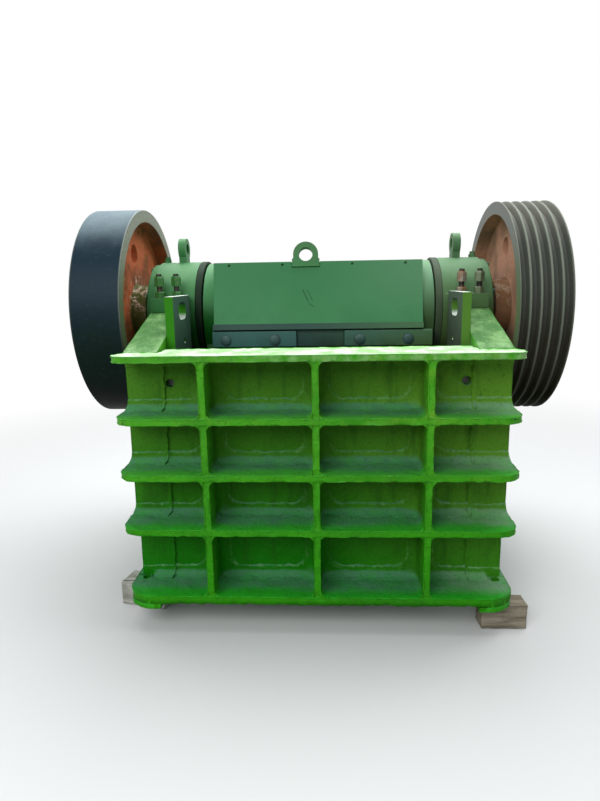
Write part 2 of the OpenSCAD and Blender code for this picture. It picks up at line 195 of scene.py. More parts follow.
def castPaint(name, look):
    # thick gloss paint over rough castings: dust with a painted sky sheen on what looks up, painted shade in
    # the rib cells and on the sloping wings, painted warm light toward the right, painted glints on the top
    # flange
    ink = inksOf(look)
    mat, nt, shader, place, xyz = startMaterial(name)
    patches = noise(nt, place, 3.4, 5)
    blots = noise(nt, place, 13, 5, 0.65)
    grain = noise(nt, place, 170, 3)
    sand = noise(nt, place, 420, 2, 0.7)
    lumps = noise(nt, place, 24, 4, 0.55)
    runs = noise(nt, place, 12, 3, 0.6, (1.7, 1.7, 0.3))
    pits = noise(nt, place, 95, 4, 0.65)
    height = ramp(nt, xyz["Z"], 0.10, 1.0)
    rib = blend(nt, height, ink("ribLow"), ink("ribHigh"))
    rib = blend(nt, times(nt, ramp(nt, patches, 0.40, 0.66), 0.55), rib, ink("deep"))
    # painted warm light, stronger toward the right; it also feeds the yellow patches
    warmLitSide = ramp(nt, xyz["X"], -0.1, 0.6)
    rib = blend(nt, times(nt, ramp(nt, blots, 0.45, 0.7), ramp(nt, xyz["Z"], 0.45, 0.9),
                          plus(nt, times(nt, warmLitSide, 0.5), 0.25)), rib, ink("yellowAndWarmLight"))
    # painted shade: the cells' panels darker than the rib fronts, a deeper green toward the bottom
    cell = blend(nt, height, ink("cellShadeLow"), ink("cellShadeHigh"))
    cell = blend(nt, times(nt, warmLitSide, ramp(nt, xyz["Z"], -0.3, 0.9), 0.7), cell, ink("cellRight"))
    cell = blend(nt, times(nt, ramp(nt, runs, 0.48, 0.7), 0.45), cell, ink("cellDark"))
    onFront = times(nt, ramp(nt, xyz["Z"], 0.985, 0.965), ramp(nt, xyz["Y"], -0.50, -0.54))
    # 1 on the panels set back in the cells, where the painted shade goes
    depth = times(nt, ramp(nt, plus(nt, xyz["Y"], times(nt, blots, 0.03)), -0.70, -0.63), onFront)
    tint = blend(nt, depth, rib, cell)
    up = lookingAlong(nt, "Z")
    facingUp = ramp(nt, up, 0.35, 0.85)
    shelf = blend(nt, ramp(nt, xyz["Z"], 0.2, 0.85), ink("shelf"), ink("shelfHigh"))
    tint = blend(nt, times(nt, facingUp, onFront, 0.8), tint, shelf)
    # dust and a painted sky sheen on the rib tops, toward the back
    back = ramp(nt, plus(nt, xyz["Y"], times(nt, minus(nt, patches, 0.5), 0.09)), -0.738, -0.672)
    dustAndSheenCover = times(nt, ramp(nt, up, 0.16, 0.62), onFront, back,
                  plus(nt, times(nt, ramp(nt, blots, 0.3, 0.7), 0.45), 0.5))
    dust = blend(nt, ramp(nt, xyz["X"], 0.36, 0.6), ink("dust"), ink("dustRight"))
    tint = blend(nt, dustAndSheenCover, tint, dust)
    skin = times(nt, ramp(nt, pits, 0.54, 0.68), 0.4)
    tint = blend(nt, skin, tint, ink("cellDark"))
    mark = nt.nodes.new("ShaderNodeAttribute")               # painted highlight along the coves' upper edge
    mark.attribute_name = "highlitRidge"
    tint = blend(nt, times(nt, mark.outputs["Fac"], ramp(nt, noise(nt, place, 48, 4, 0.7), 0.46, 0.70), 0.5),
                 tint, ink("highlitRidge"))
    wornEdge = times(nt, ramp(nt, xyz["Z"], 0.984, 0.994), ramp(nt, noise(nt, place, 17, 5, 0.7), 0.36, 0.68),
                     plus(nt, times(nt, ramp(nt, xyz["X"], -0.5, 0.1), 0.6), 0.05))
    tint = blend(nt, wornEdge, tint, ink("worn"))
    onTop = times(nt, ramp(nt, up, 0.2, 0.8), ramp(nt, xyz["Z"], 0.985, 1.0))
    topTint = blend(nt, ramp(nt, blots, 0.38, 0.66), ink("top"), ink("topDust"))
    # painted shade: the sloping wings darker than the flange top
    wingShadeTint = blend(nt, ramp(nt, blots, 0.42, 0.7), ink("wingShade"), ink("wingPale"))
    sloping = maths(nt, "MAXIMUM", ramp(nt, up, 0.985, 0.94), ramp(nt, xyz["Z"], 1.022, 1.03))
    topTint = blend(nt, sloping, topTint, wingShadeTint)
    tint = blend(nt, onTop, tint, topTint)
    # painted glints: white specks of sunlit rough paint on the flange top
    paintedGlint = times(nt, onTop, ramp(nt, sand, 0.58, 0.66), minus(nt, 0.85, times(nt, sloping, 0.45)))
    tint = blend(nt, paintedGlint, tint, ink("paintedGlint"))
    chips = ramp(nt, noise(nt, place, 34, 6, 0.75), 0.73, 0.77)
    tint = blend(nt, times(nt, chips, 0.8), tint, ink("chip"))
    put(nt, tint, shader.inputs["Base Color"])
    rough = plus(nt, times(nt, grain, 0.2), look["rough"] - 0.1)
    rough = plus(nt, rough, times(nt, maths(nt, "MAXIMUM", facingUp, depth), 0.2))
    put(nt, rough, shader.inputs["Roughness"])
    shader.inputs["Specular IOR Level"].default_value = look["gloss"]
    bumps(nt, shader, (lumps, look["lumps"]), (blots, 0.003), (grain, 0.0006),
          (times(nt, sand, facingUp), 0.0011), (pits, 0.0026), (chips, -0.0006))
    return mat


def scratch(nt, xyz, start, end, width):
    # 1 along a thin line on an upright plate, given by X and Z
    length = math.dist(start, end)
    dx, dz = (end[0] - start[0]) / length, (end[1] - start[1]) / length
    along = plus(nt, times(nt, xyz["X"], dx), times(nt, xyz["Z"], dz))
    along = minus(nt, along, start[0] * dx + start[1] * dz)
    across = minus(nt, times(nt, xyz["X"], dz), times(nt, xyz["Z"], dx))
    across = maths(nt, "ABSOLUTE", minus(nt, across, start[0] * dz - start[1] * dx))
    return times(nt, ramp(nt, across, width, width * 0.4), ramp(nt, along, 0.0, length * 0.15),
                 ramp(nt, along, length, length * 0.8))


def paintedSteel(name, paint):
    # plain painted steel, with dust and a painted sky sheen on top, painted light and shade by height,
    # painted warm light toward the pulley's side, patches and a few chips
    mat, nt, shader, place, xyz = startMaterial(name)
    patches = noise(nt, place, 5, 5)
    grain = noise(nt, place, 160, 3)
    lumps = noise(nt, place, paint["lumpScale"], 4, 0.55)
    warmLitSide = ramp(nt, xyz["X"], -0.1, 0.55)
    ink = inksOf(paint)

    def across(key):                                         # on the pulley's side each colour may take painted warm light
        return blend(nt, warmLitSide, ink(key), ink(key + "Right" if key + "Right" in paint else key))

    tint = blend(nt, ramp(nt, patches, 0.38, 0.66), across("main"), across("deep"))
    # painted light and shade by height: lighter higher up on most parts, lighter lower down on the guard
    high = ramp(nt, xyz["Z"], *paint["heights"])
    tint = blend(nt, times(nt, high, 0.9), tint, across("upperShading"))
    if "front" in paint:                                     # fresh paint on edges facing the feed side
        tint = blend(nt, ramp(nt, lookingAlong(nt, "Y"), -0.6, -0.9), tint, across("front"))
    # dust and a painted sky sheen on what faces up
    dustAndSheenMask = times(nt, ramp(nt, lookingAlong(nt, "Z"), 0.25, 0.95), paint["dust"],
                     ramp(nt, patches, 0.2, 0.7))
    tint = blend(nt, dustAndSheenMask, tint, ink("dustAndSheenTint"))
    chips = ramp(nt, noise(nt, place, 40, 6, 0.75), paint["chipFrom"], paint["chipFrom"] + 0.05)
    for start, end, width in paint.get("scratches", ()):
        chips = maths(nt, "MAXIMUM", chips, scratch(nt, xyz, start, end, width))
    tint = blend(nt, chips, tint, ink("chip"))
    put(nt, tint, shader.inputs["Base Color"])
    rough = plus(nt, times(nt, grain, 0.16), paint["rough"])
    put(nt, plus(nt, rough, times(nt, dustAndSheenMask, 0.25)), shader.inputs["Roughness"])
    shader.inputs["Specular IOR Level"].default_value = paint["gloss"]
    bumps(nt, shader, (lumps, paint["lumps"]), (grain, 0.0003), (chips, -0.0004))
    return mat


housingPaint = {
    # the upper colour is painted light from above
    "main": (24, 84, 30), "deep": (18, 72, 22), "upperShading": (66, 124, 76), "heights": (1.04, 1.32),
    # the Right colours are painted warm light on the pulley's side
    "mainRight": (74, 98, 54), "deepRight": (60, 86, 44), "upperShadingRight": (76, 114, 78),
    # pale dust with a painted sky sheen on what faces up
    "dust": 0.4, "dustAndSheenTint": (128, 168, 130), "chip": (52, 84, 46), "chipFrom": 0.76,
    "lumpScale": 14, "lumps": 0.0016, "rough": 0.4, "gloss": 0.13,
}
barrelPaint = dict(housingPaint, main=(12, 82, 18), deep=(10, 72, 14), upperShading=(68, 132, 84),
                   # painted warm light on the pulley's side
                   mainRight=(62, 88, 54), deepRight=(54, 78, 46), upperShadingRight=(98, 140, 106),
                   heights=(1.08, 1.28))
guardPaint = dict(housingPaint, main=(60, 128, 80), deep=(54, 120, 72), upperShading=(44, 112, 66), dust=0.3,
                  # painted warm light on the pulley's side
                  mainRight=(68, 130, 86), deepRight=(62, 124, 80), upperShadingRight=(86, 134, 98),
                  heights=(1.03, 1.30), chipFrom=0.84, lumpScale=5, lumps=0.0012, rough=0.34, gloss=0.14,
                  chip=(30, 64, 34), scratches=(((-0.061, 1.219), (-0.034, 1.163), 0.0022),
                                                ((-0.042, 1.217), (-0.018, 1.169), 0.0018),
                                                ((-0.039, 1.163), (-0.012, 1.147), 0.0016)))
eyePaint = dict(guardPaint, scratches=(), main=(48, 104, 52), upperShading=(64, 110, 66), heights=(1.25, 1.42),
                dust=0.2)
cheekPaint = dict(housingPaint, main=(46, 74, 58), deep=(36, 62, 46), upperShading=(64, 92, 78), heights=(0.95, 1.2),
                  # the white on the cheek plates' tops is dust and a painted highlight
                  dust=1.3, dustAndSheenTint=(236, 246, 236), chip=(84, 84, 70), chipFrom=0.68, lumps=0.0026,
                  # the Right colours are painted warm light on the pulley's side
                  rough=0.5, gloss=0.12, front=(44, 118, 12), frontRight=(78, 120, 44),
                  mainRight=(66, 82, 62), deepRight=(54, 68, 52), upperShadingRight=(82, 98, 84))
wedgePaint = dict(housingPaint, main=(58, 100, 94), deep=(36, 66, 60), upperShading=(66, 108, 100),
                  heights=(0.98, 1.06), dust=0.25, dustAndSheenTint=(120, 134, 130), chip=(52, 58, 50), chipFrom=0.68,
                  lumps=0.0015, rough=0.42, gloss=0.12)
lipPaint = dict(wedgePaint, main=(40, 64, 60), deep=(28, 48, 44), upperShading=(50, 78, 70), chipFrom=0.74)
coverPaint = dict(housingPaint, main=(34, 92, 46), deep=(24, 72, 34), upperShading=(60, 118, 70), dust=0.3)
sealPaint = dict(housingPaint, main=(6, 34, 12), deep=(6, 22, 8), upperShading=(10, 38, 18), heights=(1.1, 1.4),
                 # painted warm light on the pulley's side
                 mainRight=(64, 78, 58), deepRight=(50, 58, 44), upperShadingRight=(70, 84, 68),
                 dust=0.15, dustAndSheenTint=(74, 92, 76), chip=(60, 48, 34), chipFrom=0.68, lumps=0.001, rough=0.55,
                 gloss=0.15)

finish = {"frame": castPaint("framePaint", framePaint)}
for part, paint in {"housing": housingPaint, "barrel": barrelPaint, "guard": guardPaint, "eye": eyePaint,
                    "cheek": cheekPaint, "wedge": wedgePaint, "lip": lipPaint, "cover": coverPaint,
                    "seal": sealPaint}.items():
    finish[part] = paintedSteel(part + "Paint", paint)

wheelLook = {
    # the rim's colours from the top down: painted light and shade
    "top": (98, 120, 128), "rim": (8, 34, 46), "low": (6, 28, 22), "bottomShade": (2, 10, 6),
    "worn": (46, 66, 74), "edge": (140, 148, 136), "ringLit": (130, 138, 124), "ringShade": (74, 98, 66),
    "primer": (196, 106, 68), "primerDark": (134, 80, 50), "rust": (186, 144, 84),
    "hub": (96, 104, 56), "hubHighlight": (236, 216, 194), "webShade": (62, 54, 42),
    "rimInner": 0.386, "outer": 0.438, "innerFace": 0.745, "outerFace": 0.941,
    "rough": 0.44, "gloss": 0.12,
}
pulleyLook = dict(wheelLook, top=(104, 104, 96), rim=(72, 76, 70), low=(54, 52, 44), bottomShade=(42, 36, 24),
                  hub=(118, 86, 60), worn=(78, 92, 86), edge=(122, 130, 116),
                  ringLit=(104, 108, 106), ringShade=(98, 122, 84), hubHighlight=(150, 132, 112),
                  primer=(188, 140, 114), primerDark=(140, 108, 86), rust=(160, 128, 100))


def wheelPaint(name, look, grooved):
    # dark rim, painted pale on top and shaded toward the bottom, worn edges with a painted highlight, orange
    # primer inside the rim, rust round the hub
    ink = inksOf(look)
    mat, nt, shader, place, xyz = startMaterial(name)
    dy = minus(nt, xyz["Y"], layout["shaftY"])
    dz = minus(nt, xyz["Z"], layout["shaftZ"])
    radius = maths(nt, "SQRT", plus(nt, times(nt, dy, dy), times(nt, dz, dz)))
    across = maths(nt, "ABSOLUTE", xyz["X"])
    patches = noise(nt, place, 6, 5)
    fine = noise(nt, place, 60, 5, 0.7)
    wobble = times(nt, minus(nt, fine, 0.5), 0.006)
    # painted light and shade: the rim pale on top, dark toward the bottom
    level = plus(nt, dz, times(nt, minus(nt, patches, 0.5), 0.16))
    rim = blend(nt, ramp(nt, level, -0.42, -0.2), ink("bottomShade"), ink("low"))
    rim = blend(nt, ramp(nt, level, -0.15, 0.12), rim, ink("rim"))
    rim = blend(nt, ramp(nt, level, 0.24, 0.44), rim, ink("top"))
    rim = blend(nt, times(nt, ramp(nt, fine, 0.55, 0.72), 0.35), rim, ink("worn"))
    # worn edges, drawn brighter toward the top as a painted highlight
    edge = ramp(nt, plus(nt, radius, wobble), look["outer"] - 0.006, look["outer"] - 0.0015)
    if grooved:
        lit = plus(nt, times(nt, ramp(nt, dz, -0.4, 0.2), 0.6), 0.15)
        rim = blend(nt, times(nt, edge, lit), rim, ink("edge"))
    else:
        nearIn = ramp(nt, across, look["innerFace"] + 0.007, look["innerFace"])
        nearOut = ramp(nt, across, look["outerFace"] - 0.007, look["outerFace"])
        edge = times(nt, edge, maths(nt, "MAXIMUM", nearIn, nearOut), ramp(nt, dz, -0.3, 0.3))
        rim = blend(nt, times(nt, edge, 0.85), rim, ink("edge"))
    # the inner ring likewise painted lighter on top and shaded below
    ring = blend(nt, ramp(nt, plus(nt, level, wobble), -0.1, 0.36), ink("ringShade"), ink("ringLit"))
    ring = blend(nt, times(nt, ramp(nt, fine, 0.5, 0.7), 0.5), ring, ink("primerDark"))
    onRing = times(nt, ramp(nt, across, look["innerFace"] + 0.003, look["innerFace"] + 0.001),
                   ramp(nt, plus(nt, radius, wobble), look["outer"] - 0.002, look["outer"] - 0.008))
    rim = blend(nt, onRing, rim, ring)
    primer = blend(nt, ramp(nt, patches, 0.42, 0.62), ink("primer"), ink("primerDark"))
    primer = blend(nt, times(nt, ramp(nt, fine, 0.54, 0.66), 0.8), primer, ink("rust"))
    # painted shade over the lower part of the web
    primer = blend(nt, times(nt, ramp(nt, level, -0.02, -0.3), 0.7), primer, ink("webShade"))
    hub = ramp(nt, radius, 0.135, 0.118)
    primer = blend(nt, hub, primer, ink("hub"))
    # pale blotches round the hub's upper side: painted highlight
    hubHighlight = times(nt, ramp(nt, noise(nt, place, 30, 6, 0.8), 0.51, 0.60), ramp(nt, radius, 0.2, 0.1))
    primer = blend(nt, times(nt, hubHighlight, ramp(nt, dz, -0.04, 0.06)), primer, ink("hubHighlight"))
    inside = ramp(nt, plus(nt, radius, wobble), look["rimInner"] + 0.004, look["rimInner"] - 0.002)
    tint = blend(nt, inside, rim, primer)
    put(nt, tint, shader.inputs["Base Color"])
    put(nt, plus(nt, plus(nt, times(nt, fine, 0.2), look["rough"] - 0.1), times(nt, inside, 0.25)),
        shader.inputs["Roughness"])
    shader.inputs["Specular IOR Level"].default_value = look["gloss"]
    bumps(nt, shader, (patches, 0.0015), (fine, 0.0006))
    return mat


finish["flywheel"] = wheelPaint("flywheelPaint", wheelLook, False)
finish["pulley"] = wheelPaint("pulleyPaint", pulleyLook, True)


def bareSteel(name, look):
    ink = inksOf(look)
    mat, nt, shader, place, xyz = startMaterial(name)
    patches = noise(nt, place, 12, 5)
    fine = noise(nt, place, 140, 4, 0.7)
    tint = blend(nt, ramp(nt, patches, 0.4, 0.7), ink("main"), ink("dull"))
    rust = ramp(nt, noise(nt, place, 22, 6, 0.7), look["rustFrom"], look["rustFrom"] + 0.12)
    tint = blend(nt, rust, tint, ink("rust"))
    if "leftPaint" in look:                                  # painted, all but the inner ones on the right
        onRight = times(nt, ramp(nt, xyz["X"], 0.60, 0.62), ramp(nt, fine, 0.66, 0.5), 0.75)
        tint = blend(nt, onRight, tint, ink("rightPaint"))
        onLeft = times(nt, ramp(nt, xyz["X"], 0.01, -0.01), ramp(nt, fine, 0.66, 0.56))
        tint = blend(nt, onLeft, tint, ink("leftPaint"))
        rust = maths(nt, "MAXIMUM", rust, onLeft)
    put(nt, tint, shader.inputs["Base Color"])
    put(nt, minus(nt, look["metal"], times(nt, rust, look["metal"])), shader.inputs["Metallic"])
    put(nt, plus(nt, times(nt, fine, 0.25), look["rough"]), shader.inputs["Roughness"])
    bumps(nt, shader, (patches, 0.0008), (fine, 0.0003))
    return mat


steelLooks = {
    "jaw": {"main": (104, 104, 106), "dull": (80, 78, 76), "rust": (108, 74, 50), "rustFrom": 0.56,
            "metal": 0.55, "rough": 0.42},
    "shaft": {"main": (150, 150, 150), "dull": (120, 118, 112), "rust": (112, 70, 44), "rustFrom": 0.6,
              "metal": 0.9, "rough": 0.25},
    "rod": {"main": (96, 96, 92), "dull": (70, 70, 64), "rust": (100, 64, 40), "rustFrom": 0.54,
            "metal": 0.7, "rough": 0.36},
    "nut": {"main": (132, 126, 112), "dull": (96, 88, 74), "rust": (116, 82, 54), "rustFrom": 0.52,
            "metal": 0.5, "rough": 0.38, "leftPaint": (32, 94, 32), "rightPaint": (78, 104, 70)},
    "stud": {"main": (58, 56, 52), "dull": (40, 40, 38), "rust": (72, 54, 40), "rustFrom": 0.56,
             "metal": 0.6, "rough": 0.4},
    "bolt": {"main": (50, 84, 78), "dull": (34, 58, 54), "rust": (54, 60, 50), "rustFrom": 0.66,
             "metal": 0.2, "rough": 0.45},
}
for part, look in steelLooks.items():
    finish[part] = bareSteel(part + "Steel", look)


def sawnWood(name, look):
    ink = inksOf(look)
    mat, nt, shader, place = startMaterial(name)[:4]
    rings = noise(nt, place, 34, 6, 0.65, look["along"])
    fibre = noise(nt, place, 190, 3, 0.6, look["along"])
    stain = noise(nt, place, 11, 5)
    tint = blend(nt, ramp(nt, rings, 0.36, 0.66), ink("pale"), ink("dark"))
    tint = blend(nt, times(nt, ramp(nt, stain, 0.48, 0.72), 0.6), tint, ink("stain"))
    tint = blend(nt, times(nt, ramp(nt, fibre, 0.58, 0.7), 0.55), tint, ink("dark"))
    crack = ramp(nt, noise(nt, place, 16, 3, 0.5, look["along"]), 0.665, 0.68)
    tint = blend(nt, times(nt, crack, 0.85), tint, ink("crack"))
    put(nt, tint, shader.inputs["Base Color"])
    shader.inputs["Roughness"].default_value = 0.82
    shader.inputs["Specular IOR Level"].default_value = 0.2
    bumps(nt, shader, (rings, 0.0022), (fibre, 0.0012), (crack, -0.003))
    return mat


woodInks = {"pale": (196, 198, 190), "dark": (150, 150, 140), "stain": (128, 126, 114), "crack": (58, 50, 40),
            "along": (0.14, 1.0, 1.5)}
finish["pale"] = sawnWood("paleWood", woodInks)
finish["tan"] = sawnWood("tanWood", dict(woodInks, pale=(158, 150, 132), dark=(112, 104, 88),
                                         stain=(90, 88, 76)))
print("materials made:", len(finish))

# A node's finish is named by the first word of its slot, apart from these
ownFinish = {"swing_jaw": "barrel", "barrel_guard": "guard", "jaw_lifting_eye": "eye", "jaw_lip": "lip",
             "left_end_cover": "cover", "right_end_cover": "cover"}
nodeSlot = {part["node"]: part["material_slot"] for part in frame["record"]["subparts"]}


def finishOf(node):
    return finish[ownFinish.get(node, nodeSlot[node].split("_")[0])]


def bodyOf(node):
    for body, members in frame["record"]["behaviour"]["bodies"].items():
        if node in members:
            return body


def addPiece(name, mesh, mat, body):
    mesh.materials.clear()
    mesh.materials.append(mat)
    piece = bpy.data.objects.new(name, mesh)
    scene.collection.objects.link(piece)
    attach(piece, body)
    return piece


def evaluated(work):
    done = bpy.data.meshes.new_from_object(work.evaluated_get(bpy.context.evaluated_depsgraph_get()))
    for modifier in list(work.modifiers):
        work.modifiers.remove(modifier)
    bpy.data.objects.remove(work)
    return done


# Edges that bend less than "bend" degrees stay sharp; a bevel takes at most "share" of the face beside it
edgeRule = {"merge": 0.00002, "flat": 0.6, "bend": 32, "leastRoom": 0.006, "share": 0.42}


def onJoint(spot, look):
    # where a foot meets the base flange
    return "joint" in look and abs(spot.z - look["joint"]) < 1e-4 and abs(spot.x) > look["jointFrom"]


def edgeRoom(edge):
    # how far a bevel may run over the narrower of the two faces
    a, b = edge.verts[0].co, edge.verts[1].co
    along = (b - a).normalized()
    return min(max(((v.co - a) - along * (v.co - a).dot(along)).length for v in face.verts)
               for face in edge.link_faces)


def softened(node, look):
    # a merged copy of the node: edges rounded, inside corners coved
    bm = bmesh.new()
    bm.from_mesh(cadNodes[node].data)
    bmesh.ops.remove_doubles(bm, verts=bm.verts, dist=edgeRule["merge"])
    bmesh.ops.dissolve_limit(bm, angle_limit=math.radians(edgeRule["flat"]), verts=bm.verts, edges=bm.edges)
    weight = bm.edges.layers.float.new("bevel_weight_edge")
    cove = look.get("cove", look["edge"])
    for edge in bm.edges:
        if len(edge.link_faces) != 2 or edge.calc_length() < 1e-6:
            continue
        bend = edge.calc_face_angle_signed(0)
        if abs(bend) > math.radians(edgeRule["bend"]) and not all(onJoint(v.co, look) for v in edge.verts):
            width = cove if bend < 0 else look["edge"]
            room = edgeRoom(edge)
            edge[weight] = min(width, edgeRule["share"] * room) / cove if room > edgeRule["leastRoom"] else 0
    mesh = bpy.data.meshes.new(node + "Soft")
    bm.to_mesh(mesh)
    bm.free()
    work = bpy.data.objects.new("work", mesh)
    scene.collection.objects.link(work)
    bevel = work.modifiers.new("edge", "BEVEL")
    bevel.limit_method = "WEIGHT"
    bevel.width = cove
    bevel.segments = look.get("segments", 2)
    bevel.miter_outer = "MITER_ARC"
    return evaluated(work)


def roughened(mesh, look):
    # cut into small fields, then sunk and swelled by a slow noise, as sand-cast iron is
    bm = bmesh.new()
    bm.from_mesh(mesh)
    bmesh.ops.triangulate(bm, faces=[face for face in bm.faces if len(face.verts) > 4])
    low = [min(v.co[i] for v in bm.verts) for i in range(3)]
    high = [max(v.co[i] for v in bm.verts) for i in range(3)]
    for axis in range(3):
        steps = int((high[axis] - low[axis]) / look["pitch"])
        for step in range(1, steps + 1):
            spot, facing = Vector((0, 0, 0)), Vector((0, 0, 0))
            spot[axis] = low[axis] + step * (high[axis] - low[axis]) / (steps + 1)
            facing[axis] = 1
            bmesh.ops.bisect_plane(bm, geom=bm.verts[:] + bm.edges[:] + bm.faces[:], dist=1e-6,
                                   plane_co=spot, plane_no=facing)
    bm.normal_update()
    stretch = Vector(look.get("stretch", (1, 1, 1)))
    shifts = []
    for vert in bm.verts:
        field = vert.co * stretch / look["wave"]
        wave = fieldNoise.noise(field) + 0.5 * fieldNoise.noise(field * 2.6)
        facing = vert.normal * Vector((1, 1, look.get("upright", 1)))
        if onJoint(vert.co, look):                           # feet keep their seat and move sideways only
            facing = Vector((vert.normal.x, vert.normal.y, 0))
            facing = facing.normalized() if facing.length > 0.3 else Vector((0, 0, 0))
        shifts.append(facing * (look.get("swell", 0) - look["lump"] * min(max(0.5 + 0.5 * wave, 0), 1)))
    for vert, shift in zip(bm.verts, shifts):                # never beyond the casting's own box
        vert.co = [min(max(c, a), b) for c, a, b in zip(vert.co + shift, low, high)]
    bm.to_mesh(mesh)
    bm.free()


def shaded(mesh, angle, weighted):
    mesh.shade_smooth()
    mesh.set_sharp_from_angle(angle=math.radians(angle))
    if not weighted:
        return mesh
    work = bpy.data.objects.new("work", mesh)
    scene.collection.objects.link(work)
    level = work.modifiers.new("level", "WEIGHTED_NORMAL")
    level.keep_sharp = True
    return evaluated(work)


def dressed(node, look):
    mesh = softened(node, look)
    if "lump" in look:
        roughened(mesh, look)
    mesh = shaded(mesh, look.get("sharp", 40), "lump" not in look)
    piece = addPiece(node + "_dressed", mesh, finishOf(node), bodyOf(node))
    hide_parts(node)
    print(node, "dressed:", len(mesh.polygons), "faces")
    return piece


castLook = {"edge": 0.007, "cove": 0.020, "segments": 4, "pitch": 0.019, "lump": 0.0085, "swell": 0.0022,
            "wave": 0.026, "sharp": 50, "joint": layout["footTop"], "jointFrom": 0.59}
wallLook = dict(castLook, cove=0.014, pitch=0.04, lump=0.003, swell=0, wave=0.07, jointFrom=0.0)
padLook = dict(castLook, cove=0.007, segments=3, pitch=0.026, upright=0.15, jointFrom=0.0)
rearPadLook = dict(padLook, lump=0.003, swell=0, wave=0.07)
woodLook = {"edge": 0.004, "pitch": 0.012, "lump": 0.004, "wave": 0.03, "stretch": (0.35, 1, 1), "sharp": 48}
looks = {}
for names, look in (
        ("front_wall", castLook), ("left_side_wall right_side_wall rear_wall", wallLook),
        ("front_left_foot front_right_foot", padLook), ("rear_left_foot rear_right_foot", rearPadLook),
        ("front_left_block front_right_block rear_left_block rear_right_block", woodLook),
        ("left_cheek_plate right_cheek_plate left_bearing_base right_bearing_base", {"edge": 0.003}),
        ("left_bearing_cap right_bearing_cap", {"edge": 0.004, "cove": 0.006, "segments": 3}),
        ("left_end_cover right_end_cover left_seal_ring right_seal_ring", {"edge": 0.004}),
        ("swing_jaw", {"edge": 0.005, "cove": 0.01}), ("barrel_guard", {"edge": 0.0025}),
        ("jaw_lip left_jaw_wedge right_jaw_wedge", {"edge": 0.004}),
        ("jaw_lifting_eye", {"edge": 0.007, "segments": 4}), ("flywheel", {"edge": 0.004, "segments": 3}),
        ("grooved_pulley", {"edge": 0.0022}), ("toggle_block", {"edge": 0.003}),
        ("toggle_plate", {"edge": 0.002}), ("front_toggle_seat spring_plate", {"edge": 0.003}),
        ("left_shaft_plate right_shaft_plate", {"edge": 0.0025})):
    looks.update(dict.fromkeys(names.split(), look))
for node, look in looks.items():
    dressed(node, look)
for node, obj in cadNodes.items():
    if node not in looks:
        obj.data.materials.clear()
        obj.data.materials.append(finishOf(node))
print("castings softened:", len(looks))

# Coves where the wall's panels run into the ribs: a hollow fillet round each cell
coveLook = {
    "reach": 0.036, "rise": 0.034, "arc": 7, "highlitRidge": 0.0022, "sink": 0.008, "step": 0.011,
    "cornerOut": 0.022, "cornerIn": 0.044, "cornerSteps": 7, "lump": 0.0026, "wave": 0.03, "flare": 0.009,
    "panelY": -0.593, "postY": -0.599, "postFrom": 0.545,
    "rows": ((0.148, 0.377), (0.401, 0.578), (0.602, 0.777), (0.801, 0.992)),   # between the ribs
    "cell": (0.012, 0.370), "bay": (0.394, 0.690), "lowBay": (0.394, 0.681),
    "holeFrom": 0.622, "holeTo": 0.641,      # the lowest coves leave the foot bolts' holes clear
    "beadRadius": 0.0068, "beadLump": 0.9, "beadFlat": 0.26, "beadStep": 0.006,
}


def eased(value, low, high):
    # 0 at low, 1 at high, whichever is the larger
    t = min(max((value - low) / (high - low), 0), 1)
    return t * t * (3 - 2 * t)


def outline(cell, inset, radius, look, openEnd):
    # a rounded rectangle seen from the front, or three sides of one that is open at its outer end
    x0, x1, z0, z1 = cell
    countX, countZ = [max(int(length / look["step"]), 4) for length in (x1 - x0, z1 - z0)]
    x0, z0, z1 = x0 + inset, z0 + inset, z1 - inset
    x1 = x1 if openEnd else x1 - inset
    far = x1 if openEnd else x1 - radius
    legs = [((far, z0), (x0 + radius, z0), countX), ((x0, z0 + radius), (x0, z1 - radius), countZ),
            ((x0 + radius, z1), (far, z1), countX), ((x1, z1 - radius), (x1, z0 + radius), countZ)]
    turns = [(x0 + radius, z0 + radius, 270), (x0 + radius, z1 - radius, 180),
             (x1 - radius, z1 - radius, 90), (x1 - radius, z0 + radius, 0)]
    points = []
    for i in range(3 if openEnd else 4):
        (ax, az), (bx, bz), count = legs[i]
        points += [(ax + (bx - ax) * k / count, az + (bz - az) * k / count) for k in range(count + 1)]
        if i < 2 or not openEnd:
            cx, cz, start = turns[i]
            for k in range(1, look["cornerSteps"]):
                a = math.radians(start - 90 * k / look["cornerSteps"])
                points.append((cx + radius * math.cos(a), cz + radius * math.sin(a)))
    return points


